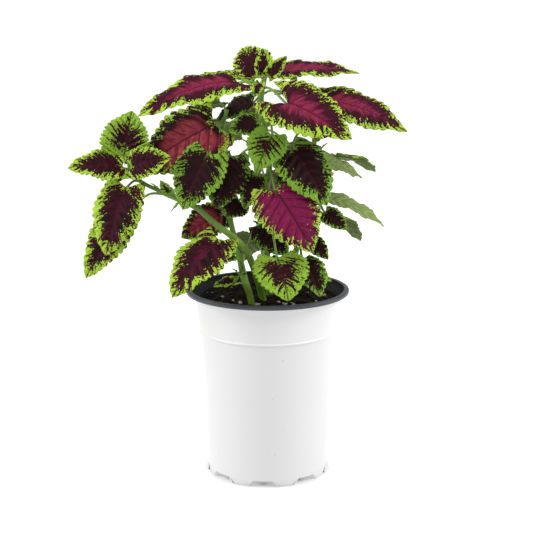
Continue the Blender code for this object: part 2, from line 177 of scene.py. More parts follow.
class BladeKit(NodeKit):
    """Mixes a blade's colours from its own attributes and the noises that break them up."""

    STREAKS, DABS = (2.6, 1.3), (6.5, 5.5)
    FLECKS, DOTS, GAPS = 1150.0, 540.0, 470.0
    VEIN_WIDTH, FINGER_WIDTH, RIB_WIDTH = (0.10, 0.02), (0.36, 0.06), (0.042, 0.012)
    FINGER_DEPTH = 0.62
    HEART_EDGE = (0.93, 1.22)
    MAGENTA, ROSE, DEEP_MAGENTA, WINE = (132, 28, 76), (164, 64, 74), (96, 10, 40), (70, 8, 30)
    MAROON, BROWN, NEAR_BLACK = (72, 10, 34), (36, 11, 13), (26, 6, 11)
    BRIGHT_LIME, LIME, LIME_VEIN = (200, 230, 84), (138, 188, 36), (206, 230, 130)
    FRESH_GREEN, DEEP_GREEN = (122, 178, 62), (54, 112, 26)
    PALE_GREEN, OLIVE = (146, 164, 100), (112, 134, 70)
    BLUSH, PALE_VEIN = (150, 74, 104), (178, 194, 130)

    def __init__(self, name: str) -> None:
        """Starts the material, reads the attributes and lays the noises.

        Args:
            name: The material's name.
        """
        super().__init__(name)
        rib, self.edge, seed = self.marks("blade")
        heart, self.margin, self.lime = self.marks("look")
        self.rosy, self.shade, self.from_rib = self.marks("tint")
        self.streak, self.dab = (
            self.noise(1.0, 2.0, self.vector(self.times(rib, x), self.times(self.edge, y), seed))
            for x, y in (self.STREAKS, self.DABS))
        self.fleck = self.noise(self.FLECKS, 2.0)
        self.dots = self.step(self.noise(self.DOTS, 1.0), 0.56, 0.64)
        self.gaps = self.step(self.noise(self.GAPS, 1.0), 0.48, 0.40)
        self.beside = self.math("ABSOLUTE", self.minus(self.math("FRACT", rib), 0.5))
        self.vein = self.step(self.beside, *self.VEIN_WIDTH)
        pink_at = self.sway(self.plus(self.edge, heart), (self.streak, 0.9), (self.dab, 0.7))
        self.pink = self.step(pink_at, *self.HEART_EDGE)

    def green(self) -> Socket:
        """Finds where the margin lies, with the field's fingers beside the veins cut into it.

        Returns:
            1 in the margin and 0 in the field.
        """
        finger = self.times(self.step(self.beside, *self.FINGER_WIDTH),
                            self.step(self.streak, 0.60, 0.42))
        broken = self.minus(1.0, self.times(finger, self.FINGER_DEPTH))
        reach = self.sway(self.times(self.margin, broken),
                          (self.streak, 0.90), (self.dab, 0.95), (self.fleck, 0.18))
        reach = self.minus(reach, self.times(self.vein, 0.05))
        reach = self.plus(reach, self.times(self.dots, 0.17))
        reach = self.minus(reach, self.times(self.gaps, 0.20))
        return self.step(self.minus(reach, self.edge), -0.01, 0.025)

    def field(self) -> Socket:
        """Mixes the maroon field and the magenta heart in it.

        Returns:
            Their colour.
        """
        mottle = self.times(self.step(self.dab, 0.42, 0.66), 0.65)
        heart = self.mix(mottle, self.mix(self.rosy, self.MAGENTA, self.ROSE), self.DEEP_MAGENTA)
        heart = self.mix(self.times(self.vein, 0.55), heart, self.WINE)
        maroon = self.mix(self.shade, self.MAROON, self.BROWN)
        maroon = self.mix(self.step(self.streak, 0.42, 0.62), maroon, self.NEAR_BLACK)
        return self.mix(self.pink, maroon, heart)

    def rim(self) -> Socket:
        """Mixes the margin, from calm green to lime.

        Returns:
            Its colour.
        """
        bright = self.mix(self.dab, self.BRIGHT_LIME, self.LIME)
        calm = self.mix(self.dab, self.FRESH_GREEN, self.DEEP_GREEN)
        return self.mix(self.times(self.vein, 0.2), self.mix(self.lime, calm, bright),
                        self.LIME_VEIN)

    def below(self) -> Socket:
        """Mixes the pale underside, through which the field shows a little.

        Returns:
            Its colour.
        """
        pale = self.mix(self.dab, self.PALE_GREEN, self.OLIVE)
        pale = self.mix(self.times(self.pink, 0.75), pale, self.BLUSH)
        pale = self.mix(self.times(self.vein, 0.6), pale, self.PALE_VEIN)
        return self.mix(self.times(self.minus(1.0, self.green()), 0.22), pale, self.field())


@dataclass(frozen=True)
class LeafFinish:
    """Leaf blade: magenta heart, velvety maroon field and a blotched green margin."""

    name: str
    underside: bool
    midrib: Screen
    matt: float = 0.55
    specular: float = 0.12
    relief: float = 0.0005

    def build(self) -> None:
        """Builds the material of one face of the blades."""
        kit = BladeKit(self.name)
        colour = kit.below() if self.underside else kit.mix(kit.green(), kit.field(), kit.rim())
        line = kit.times(kit.step(kit.from_rib, *kit.RIB_WIDTH), 0.75)
        kit.link("Base Color", kit.mix(line, colour, self.midrib))
        kit.link("Roughness", kit.plus(self.matt, kit.times(kit.fleck, 0.25)))
        kit.link("Specular IOR Level", self.specular)
        kit.bump(kit.plus(kit.fleck, kit.times(kit.dab, 0.8)), 0.45, self.relief)


@dataclass(frozen=True)
class StemFinish:
    """Stem and petiole: smooth yellow-green with fine lengthwise flecks."""

    name: str = "stem_green"
    green: Screen = (104, 142, 38)
    yellow_green: Screen = (138, 174, 62)
    fleck: Screen = (74, 106, 24)
    grain_scale: Point = (900.0, 900.0, 160.0)

    def build(self) -> None:
        """Builds the stems' material."""
        kit = NodeKit(self.name)
        patch = kit.step(kit.noise(38.0), 0.38, 0.66)
        drawn_out = kit.node("ShaderNodeMapping", {0: kit.place, 3: self.grain_scale}).outputs[0]
        grain = kit.noise(1.0, over=drawn_out)
        base = kit.mix(patch, self.green, self.yellow_green)
        kit.link("Base Color", kit.mix(kit.times(grain, 0.45), base, self.fleck))
        kit.link("Roughness", kit.plus(0.34, kit.times(grain, 0.2)))
        kit.link("Subsurface Weight", 0.08)
        kit.link("Subsurface Scale", 0.003)
        kit.bump(grain, 0.25, 0.0003)


@dataclass(frozen=True)
class PotFinish:
    """One layer of the pot's sheet: satin plastic with a faint formed grain."""

    name: str
    tone: Screen
    worn: Screen
    roughness: float
    dirt: Screen = (120, 114, 104)

    def build(self) -> None:
        """Builds the layer's material."""
        kit = NodeKit(self.name)
        cloud = kit.noise(22.0, 4.0)
        grain = kit.noise(900.0, 2.0)
        speck = kit.step(kit.noise(300.0, 1.0), 0.78, 0.81)
        base = kit.mix(kit.times(cloud, 0.5), self.tone, self.worn)
        kit.link("Base Color", kit.mix(kit.times(speck, 0.25), base, self.dirt))
        kit.link("Roughness", kit.plus(self.roughness, kit.times(cloud, 0.14)))
        kit.bump(kit.plus(grain, kit.times(cloud, 2.0)), 0.12, 0.0003)


@dataclass(frozen=True)
class CrumbFinish:
    """Soil, bark or mineral grains, mottled between two tones."""

    name: str
    dark: Screen
    light: Screen
    scale: float
    roughness: float = 0.95

    def build(self) -> None:
        """Builds the grains' material."""
        kit = NodeKit(self.name)
        mottle = kit.noise(self.scale, 5.0)
        fine = kit.noise(self.scale * 5.0, 3.0)
        blend = kit.step(kit.plus(kit.times(mottle, 0.65), kit.times(fine, 0.35)), 0.42, 0.68)
        kit.link("Base Color", kit.mix(blend, self.dark, self.light))
        kit.link("Roughness", self.roughness)
        kit.link("Specular IOR Level", 0.25)
        kit.bump(kit.plus(mottle, fine), 0.8, 0.001)


class LeafKind(Enum):
    """Named leaf looks: magenta heart, margin depth, lime share, rosiness and field shade."""

    MAGENTA = (0.92, 0.12, 1.0, 0.0, 0.1)
    HEARTED = (0.46, 0.17, 1.0, 0.3, 0.2)
    ROSY = (0.70, 0.10, 0.8, 1.0, 0.8)
    MAROON = (0.0, 0.26, 1.0, 0.0, 0.4)
    PURPLE = (0.10, 0.26, 1.0, 0.0, 0.3)
    DARK = (-0.1, 0.26, 0.3, 0.0, 0.9)
    DUSKY = (-0.1, 0.15, 0.2, 0.0, 1.0)
    STAR = (-0.1, 0.44, 0.6, 0.0, 0.5)
    GREEN = (-0.1, 0.62, 0.3, 0.0, 0.6)
    BUD = (0.0, 0.36, 0.9, 0.0, 0.4)
    PALE = (-0.1, 1.30, 0.2, 0.0, 0.5)


@dataclass(frozen=True)
class Leaf:
    """One leaf: where it grows, how its blade lies and its look.

    The joint is a share of the stem's length, base and tip are the blade's ends, and face is
    where its upper side looks.
    """

    joint: float
    base: Point
    tip: Point
    width: float
    face: Point
    arch: float
    fold: float
    curl: float
    wave: float
    kind: LeafKind
    notch: float = 0.03
    lean: float = 0.0

    HEEL_START, HEEL_RUN, HEEL_POWER = 0.09, 0.46, 0.55
    TIP_RUN, TIP_POWER, RIM_POWER = 0.63, 0.92, 6
    TOOTH_POWER, TOOTH_DEPTH, TOOTH_MIDDLE = 0.6, 0.14, 0.085
    TOOTH_LEAN, TOOTH_WAVE, TOOTH_OFFSET = 0.012, 0.5, 0.31
    HEEL_DROP, RIPPLES, RIB_LEAN, RIB_TURN = 0.10, 2.3, 0.42, 0.45
    PUFF, TROUGH, TROUGH_WIDTH = 0.046, 0.016, 1.6
    TIP_EDGE, HEEL_EDGE = 0.7, 1.2

    def outline(self, s: np.ndarray) -> np.ndarray:
        """Returns the half width at s as a share of its greatest."""
        heel = ((s + self.HEEL_START) / self.HEEL_RUN) ** self.HEEL_POWER
        return heel * (np.maximum(1.0 - s, 0.0) / self.TIP_RUN) ** self.TIP_POWER

    def axes(self) -> tuple[np.ndarray, np.ndarray, np.ndarray, float]:
        """Works out how the blade lies.

        Returns:
            Its unit axis, side and normal, and its length.
        """
        run = np.array(self.tip, float) - np.array(self.base, float)
        length = float(np.linalg.norm(run))
        axis = run / length
        face = np.array(self.face, float)
        normal = face - axis * float(face @ axis)
        normal /= np.linalg.norm(normal)
        return axis, np.cross(axis, normal), normal, length

    def counts(self) -> Range:
        """Returns how many teeth and side ribs half a blade of this width has."""
        teeth = 12.0 if self.width > 30 else 9.0 if self.width > 20 else 6.0
        return teeth, 7.0 if self.width > 20 else 4.0

    def surface(self, s: np.ndarray, t: np.ndarray, seed: float) -> tuple[np.ndarray, np.ndarray]:
        """Places points of the blade.

        Args:
            s: From 0 at the petiole to 1 at the tip.
            t: From -1 to 1 across.
            seed: A number that is this leaf's own.

        Returns:
            The points in millimetres, and per point the rib count, the distance from the edge,
            and the distance from the midrib.
        """
        axis, side, normal, length = self.axes()
        teeth, ribs = self.counts()
        half = 0.5 * self.width * self.outline(s)
        span = np.abs(t)
        rim = span ** self.RIM_POWER
        turn = np.where(t > 0, self.TOOTH_OFFSET, 0.0)
        lobe = np.abs(np.sin(math.pi * (teeth * s + turn))) ** self.TOOTH_POWER
        body = np.clip((1.0 - s) * 14.0, 0.0, 1.0)
        reach = half * (1.0 + rim * body * (self.TOOTH_DEPTH * lobe - self.TOOTH_MIDDLE))
        heel = self.HEEL_DROP * span ** 2 - self.notch * (1.0 - span) ** 1.5
        along = (s * length + rim * body * self.TOOTH_LEAN * length * lobe
                 - heel * (1.0 - s) ** 6 * length)
        spread = span * reach
        ripple = self.wave * np.sin(2.0 * math.pi * self.RIPPLES * s + 1.7 * np.sign(t)) * t * t
        count = (ribs * (s + 0.02)
                 - self.RIB_LEAN * ribs * span * (1.0 - self.RIB_TURN * s) * self.width / length)
        between = np.abs(np.mod(count, 1.0) - 0.5) * 2.0
        inside = np.clip((1.0 - span) * 5.0, 0.0, 1.0) * np.clip(span * 7.0, 0.0, 1.0)
        puff = (self.PUFF * self.width * (between ** 0.8 - 0.5) * inside
                * np.clip((1.0 - s) * 5.0, 0, 1))
        trough = (-self.TROUGH * self.width * np.exp(-(span * half / self.TROUGH_WIDTH) ** 2)
                  * np.clip((1 - s) * 4, 0, 1))
        fold = math.radians(self.fold)
        lift = (self.arch * 4.0 * s * (1.0 - s) + spread * math.sin(fold)
                - self.curl * spread * t * t + ripple * np.minimum(1.0, 6.0 * (1.0 - s))
                + puff + trough
                + self.TOOTH_WAVE * rim * np.sin(2.0 * math.pi * (teeth * 0.5 * s + seed)) * body)
        across = np.sign(t) * spread * math.cos(fold)
        points = (np.array(self.base, float) + np.outer(along, axis) + np.outer(across, side)
                  + np.outer(lift, normal))
        widest = 0.5 * self.width
        edge = np.minimum((1.0 - span) * half / widest,
                          (1.0 - s) * length / widest * self.TIP_EDGE)
        edge = np.minimum(edge, (s + 0.02) * length / widest * self.HEEL_EDGE)
        return points, np.column_stack([count, edge, span * half / widest])

    def midrib(self, s: float, drop: float) -> Vector:
        """Returns the midrib's point at s, that many millimetres under the blade."""
        points, _ = self.surface(np.array([s]), np.array([0.0]), 0.0)
        return Vector(points[0] - self.axes()[2] * drop)


K = LeafKind

LEFT_LEAVES: tuple[Leaf, ...] = (
    Leaf(0.95, (-141, -16, 327), (-133, -8, 371), 50, (-0.2, -1.0, 0.15), 3, 14, 0.05, 1.5,
         K.STAR, 0.03, 0.12),
    Leaf(0.97, (-140, -24, 318), (-193, -42, 319), 42, (0.0, -0.6, 0.8), 4, 8, 0.15, 1.5, K.MAROON),
    Leaf(0.97, (-134, -34, 319), (-93, -44, 330), 32, (0.05, -0.9, 0.45), 3, 10, 0.1, 1.2,
         K.MAROON),
    Leaf(0.90, (-137, -36, 302), (-157, -54, 235), 50, (-0.3, -0.9, 0.3), 5, 8, 0.15, 1.5,
         K.MAROON, 0.03, -0.10),
    Leaf(0.72, (-140, -10, 270), (-181, -24, 206), 42, (-0.3, -0.9, 0.3), 5, 8, 0.1, 1.5, K.MAROON),
    Leaf(0.99, (-137, -27, 314), (-147, -36, 304), 10, (-0.3, -0.8, 0.5), 1, 10, 0.1, 0.3, K.BUD),
    Leaf(0.99, (-137, -18, 319), (-130, -8, 333), 11, (0.2, -0.9, 0.3), 1, 12, 0.0, 0.3, K.BUD),
    Leaf(0.60, (-94, -36, 293), (-104, -40, 307), 12, (-0.5, -0.8, 0.2), 1, 12, 0.1, 0.3, K.GREEN),
)

FRONT_LEAVES: tuple[Leaf, ...] = (
    Leaf(0.92, (-50, -10, 359), (-125, -22, 314), 72, (-0.3, -0.8, 0.5), 6, 5, 0.2, 2.0,
         K.ROSY, 0.03, 0.30),
    Leaf(0.82, (-56, -36, 334), (-82, -52, 280), 52, (-0.3, -0.9, 0.3), 5, 7, 0.15, 1.5, K.DARK),
    Leaf(0.76, (-36, -20, 330), (-50, -30, 277), 46, (0.0, -1.0, 0.25), 4, 7, 0.15, 1.2, K.DUSKY),
    Leaf(0.97, (-46, 12, 378), (-76, 26, 366), 28, (-0.1, 0.5, 0.85), 2, 8, 0.1, 1.0, K.DARK),
    Leaf(0.86, (-34, 12, 338), (-54, 34, 355), 26, (0.2, -0.6, 0.8), 2, 9, 0.0, 0.8, K.PALE),
    Leaf(0.26, (-46, -48, 252), (-91, -90, 202), 54, (-0.35, -0.7, 0.65), 6, 6, 0.2, 2.0,
         K.PURPLE, 0.03, -0.07),
    Leaf(0.55, (-44, -2, 268), (-86, -14, 245), 40, (-0.1, -0.75, 0.65), 3, 8, 0.1, 1.2, K.ROSY),
    Leaf(0.58, (-26, -12, 281), (-42, -26, 268), 26, (0.1, -0.8, 0.6), 2, 8, 0.1, 0.8, K.DUSKY),
    Leaf(0.24, (-30, -38, 240), (-39, -46, 248), 11, (-0.2, -0.8, 0.5), 1, 10, 0.1, 0.3, K.GREEN),
    Leaf(0.22, (-31, -42, 233), (-41, -52, 229), 11, (-0.2, -0.8, 0.5), 1, 10, 0.1, 0.3, K.GREEN),
    Leaf(0.30, (-31, -34, 206), (-54, -30, 199), 17, (-0.1, -0.4, 0.9), 2, 8, 0.1, 0.6, K.STAR),
)

CENTRE_LEAVES: tuple[Leaf, ...] = (
    Leaf(0.93, (-27, -14, 401), (-124, -50, 370), 46, (-0.15, -0.55, 0.85), 10, 6, 0.2, 2.0,
         K.HEARTED),
    Leaf(0.98, (-7, 8, 403), (-26, 40, 429), 40, (-0.2, -0.75, 0.6), 3, 10, 0.05, 1.2, K.MAROON),
    Leaf(1.00, (-4, 1, 404), (-5, 6, 431), 17, (0.0, -1.0, 0.2), 2, 14, 0.0, 0.4, K.BUD),
    Leaf(1.00, (0, -1, 404), (19, -5, 424), 15, (0.3, -0.9, 0.3), 1, 14, 0.0, 0.4, K.BUD),
    Leaf(0.99, (-7, -8, 399), (-13, -18, 385), 12, (-0.2, -0.9, 0.4), 1, 12, 0.1, 0.3, K.BUD),
    Leaf(0.94, (3, -34, 389), (79, -74, 351), 60, (0.25, -0.8, 0.55), 7, 5, 0.15, 2.0,
         K.HEARTED, 0.22),
    Leaf(0.97, (4, 12, 408), (90, -4, 407), 40, (0.05, -0.35, 0.95), 5, 6, 0.15, 1.5, K.HEARTED),
    Leaf(0.88, (-13, 14, 379), (-52, 26, 356), 32, (-0.3, -0.5, 0.8), 4, 6, 0.1, 1.0, K.DUSKY),
    Leaf(0.82, (-8, -14, 361), (-38, -22, 352), 28, (0.0, -0.7, 0.7), 2, 6, 0.1, 0.8, K.DARK),
    Leaf(0.82, (5, -28, 351), (-10, -42, 317), 40, (-0.2, -0.95, 0.3), 3, 10, 0.05, 1.2, K.GREEN),
    Leaf(0.66, (5, -44, 302), (43, -72, 242), 62, (0.1, -0.85, 0.5), 7, 6, 0.2, 2.0,
         K.MAGENTA, 0.06),
    Leaf(0.62, (-9, -20, 309), (-23, -32, 277), 25, (-0.4, -0.9, 0.0), 3, 12, 0.2, 0.8, K.DARK),
    Leaf(0.42, (9, -50, 234), (20, -80, 196), 54, (0.1, -0.75, 0.65), 5, 8, 0.15, 1.5, K.STAR),
    Leaf(0.48, (-8, -22, 261), (20, -38, 232), 34, (0.0, -0.9, 0.4), 3, 8, 0.15, 1.0, K.DUSKY),
    Leaf(0.36, (2, -16, 226), (10, -38, 213), 18, (0.1, -0.8, 0.6), 1, 8, 0.1, 0.5, K.DARK),
)

RIGHT_LEAVES: tuple[Leaf, ...] = (
    Leaf(1.00, (27, 10, 391), (22, 24, 405), 18, (0.3, 0.7, 0.5), 1, 8, 0.1, 0.5, K.PALE),
    Leaf(0.93, (49, -4, 383), (136, -24, 352), 50, (0.15, -0.6, 0.8), 8, 6, 0.2, 1.8, K.HEARTED),
    Leaf(0.80, (22, -26, 338), (57, -58, 285), 54, (0.3, -0.85, 0.4), 5, 7, 0.2, 1.8, K.DARK),
    Leaf(0.66, (14, -14, 311), (32, -26, 295), 24, (0.1, -0.9, 0.3), 2, 8, 0.1, 0.8, K.DARK),
    Leaf(0.36, (34, -20, 226), (51, -58, 195), 36, (0.3, -0.7, 0.65), 4, 8, 0.15, 1.2, K.DARK),
    Leaf(0.75, (56, 6, 320), (96, 18, 300), 30, (0.3, -0.3, 0.9), 3, 8, 0.1, 1.0, K.PALE),
    Leaf(0.60, (58, 2, 284), (117, -8, 255), 34, (0.25, -0.2, 0.95), 5, 8, 0.1, 1.2, K.PALE),
    Leaf(0.55, (56, -18, 272), (78, -30, 256), 21, (0.2, -0.85, 0.45), 2, 8, 0.1, 0.6, K.DARK),
    Leaf(0.42, (42, -16, 244), (60, -28, 226), 19, (0.2, -0.9, 0.35), 2, 8, 0.1, 0.6, K.DARK),
    Leaf(0.26, (42, 20, 206), (66, 24, 192), 18, (0.5, -0.5, 0.7), 2, 8, 0.1, 0.5, K.STAR),
    Leaf(0.70, (66, 30, 322), (112, 62, 300), 40, (0.4, 0.4, 0.8), 5, 7, 0.15, 1.4, K.MAROON),
    Leaf(0.50, (60, 36, 262), (98, 66, 226), 38, (0.5, 0.5, 0.7), 5, 7, 0.15, 1.4, K.PURPLE),
)

BACK_LEAVES: tuple[Leaf, ...] = (
    Leaf(0.99, (-2, 70, 402), (10, 118, 398), 46, (0.1, 0.35, 0.95), 5, 8, 0.1, 1.5, K.HEARTED),
    Leaf(0.96, (-28, 62, 398), (-74, 84, 392), 40, (-0.3, 0.3, 0.9), 5, 8, 0.1, 1.4, K.MAROON),
    Leaf(0.92, (18, 64, 384), (62, 84, 366), 46, (0.4, 0.5, 0.75), 6, 7, 0.15, 1.5, K.MAROON),
    Leaf(0.86, (-8, 86, 366), (-14, 132, 330), 50, (0.0, 0.75, 0.65), 6, 7, 0.15, 1.6, K.HEARTED),
    Leaf(0.80, (-40, 68, 352), (-92, 92, 322), 48, (-0.45, 0.5, 0.7), 6, 7, 0.15, 1.6, K.MAGENTA),
    Leaf(0.74, (22, 78, 330), (56, 112, 288), 48, (0.45, 0.65, 0.6), 6, 7, 0.15, 1.6, K.PURPLE),
    Leaf(0.66, (-34, 80, 312), (-66, 112, 268), 48, (-0.45, 0.7, 0.55), 6, 7, 0.15, 1.6, K.MAROON),
    Leaf(0.60, (-4, 84, 296), (2, 124, 248), 50, (0.0, 0.8, 0.6), 6, 7, 0.15, 1.6, K.MAGENTA),
    Leaf(0.48, (-42, 62, 262), (-84, 76, 228), 42, (-0.5, 0.4, 0.75), 5, 7, 0.15, 1.4, K.DARK),
    Leaf(0.44, (24, 72, 250), (48, 98, 206), 42, (0.45, 0.7, 0.55), 5, 7, 0.15, 1.4, K.STAR),
    Leaf(0.36, (-16, 74, 234), (-26, 104, 196), 42, (-0.2, 0.8, 0.55), 5, 7, 0.15, 1.4, K.STAR),
    Leaf(0.54, (-54, 40, 292), (-100, 38, 262), 40, (-0.5, 0.1, 0.85), 5, 7, 0.15, 1.4, K.DARK),
)


def deselect() -> None:
    """Clears the selection, so that an operator acts on the new piece alone."""
    bpy.ops.object.select_all(action="DESELECT")


def activate(obj: Obj) -> None:
    """Selects one object alone and makes it active.

    Args:
        obj: The object.
    """
    deselect()
    obj.select_set(True)
    bpy.context.view_layer.objects.active = obj


def add(operator: Callable[..., object], name: str, **settings: object) -> Obj:
    """Adds a primitive with nothing else selected.

    Args:
        operator: The operator that adds it.
        name: The object's name.
        settings: The operator's own settings.

    Returns:
        The new object.
    """
    deselect()
    operator(**settings)
    obj = bpy.context.object
    obj.name = name
    return obj


def mend(obj: Obj, weld: float = 0.0, outward: bool = False, flip: bool = False) -> None:
    """Welds an object's mesh and sets its faces right, all in edit mode.

    Args:
        obj: The object.
        weld: Points closer than this many metres become one, or 0 to leave them.
        outward: Whether to turn the faces outwards.
        flip: Whether to turn every face round.
    """
    activate(obj)
    bpy.ops.object.mode_set(mode="EDIT")
    bpy.ops.mesh.select_all(action="SELECT")
    if weld:
        bpy.ops.mesh.remove_doubles(threshold=weld)
    if outward:
        bpy.ops.mesh.normals_make_consistent(inside=False)
    if flip:
        bpy.ops.mesh.flip_normals()
    bpy.ops.object.mode_set(mode="OBJECT")


def apply_modifier(obj: Obj, kind: str, **settings: object) -> None:
    """Adds a modifier with its settings and applies it.

    Args:
        obj: The object that takes the modifier.
        kind: The modifier's type.
        settings: The modifier's properties.
    """
    activate(obj)
    modifier = obj.modifiers.new(kind.title(), kind)
    for key, value in settings.items():
        setattr(modifier, key, value)
    bpy.ops.object.modifier_apply(modifier=modifier.name)


def dress(obj: Obj, *finishes: str) -> None:
    """Gives an object these materials and no others.

    Args:
        obj: The object.
        finishes: The materials' names, in the order of their slots.
    """
    obj.data.materials.clear()
    for finish in finishes:
        obj.data.materials.append(bpy.data.materials[finish])


def join(objects: list[Obj], name: str) -> Obj:
    """Joins objects into one piece.

    Args:
        objects: The objects to join.
        name: The piece's name.

    Returns:
        The joined piece.
    """
    deselect()
    for obj in objects:
        obj.select_set(True)
    bpy.context.view_layer.objects.active = objects[0]
    bpy.ops.object.join()
    piece = bpy.context.view_layer.objects.active
    piece.name = name
    piece.data.name = name
    return piece


def finish_piece(obj: Obj, nodes: tuple[str, ...] = ()) -> None:
    """Ties a finished piece to the frame.

    Args:
        obj: The piece.
        nodes: The solids that the piece stands for.
    """
    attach(obj, BODY)
    if nodes:
        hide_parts(*nodes)
    LOG.info("%s: %d faces", obj.name, len(obj.data.polygons))


def smooth_line(points: list[Vector], count: int) -> list[Vector]:
    """Returns points at even steps along a Catmull-Rom curve.

    Args:
        points: The points that the curve passes through.
        count: The number of steps.

    Returns:
        count + 1 points.
    """
    padded = [2 * points[0] - points[1], *points, 2 * points[-1] - points[-2]]
    spans = len(points) - 1
    line = []
    for step in range(count + 1):
        along = min(step / count * spans, spans - 1e-9)
        index = int(along)
        u = along - index
        a, b, c, d = padded[index:index + 4]
        line.append(0.5 * (2 * b + (c - a) * u + (2 * a - 5 * b + 4 * c - d) * u ** 2
                           + (3 * b - a - 3 * c + d) * u ** 3))
    return line


def edged_section() -> Obj:
    """Makes the guide for a stem's rounded square section, one millimetre in radius.

    Returns:
        The guide, a closed curve.
    """
    section = add(bpy.ops.curve.primitive_nurbs_circle_add, "stem_section")
    curve = section.data
    curve.splines.clear()
    spline = curve.splines.new("POLY")
    spline.points.add(SECTION_SIDES - 1)
    for index in range(SECTION_SIDES):
        angle = 2.0 * math.pi * index / SECTION_SIDES
        radius = (1.0 + CORNER * math.cos(4.0 * angle)) * MM
        spline.points[index].co = (*turned(radius, 0.0, angle), 0.0, 1.0)
    spline.use_cyclic_u = True
    return section


def rod(name: str, line: list[Vector], radii: list[float], section: Obj | None = None) -> Obj:
    """Makes a closed rod along a line.

    Args:
        name: The object's name.
        line: Points in millimetres.
        radii: The radius at each point in millimetres.
        section: The guide of another section, or none for a round one.

    Returns:
        The rod as a mesh.
    """
    obj = add(bpy.ops.curve.primitive_nurbs_path_add, name)
    curve = obj.data
    curve.splines.clear()
    spline = curve.splines.new("POLY")
    spline.points.add(len(line) - 1)
    for index, point in enumerate(line):
        spline.points[index].co = (*(point * MM), 1.0)
        spline.points[index].radius = radii[index]
    curve.dimensions = "3D"
    curve.bevel_depth = MM
    curve.bevel_resolution = ROD_BEVEL
    curve.use_fill_caps = True
    if section:
        curve.bevel_mode = "OBJECT"
        curve.bevel_object = section
    activate(obj)
    bpy.ops.object.convert(target="MESH")
    obj = bpy.context.object
    mend(obj, weld=WELD, outward=True)
    bpy.ops.object.shade_smooth_by_angle(angle=math.radians(50))
    return obj


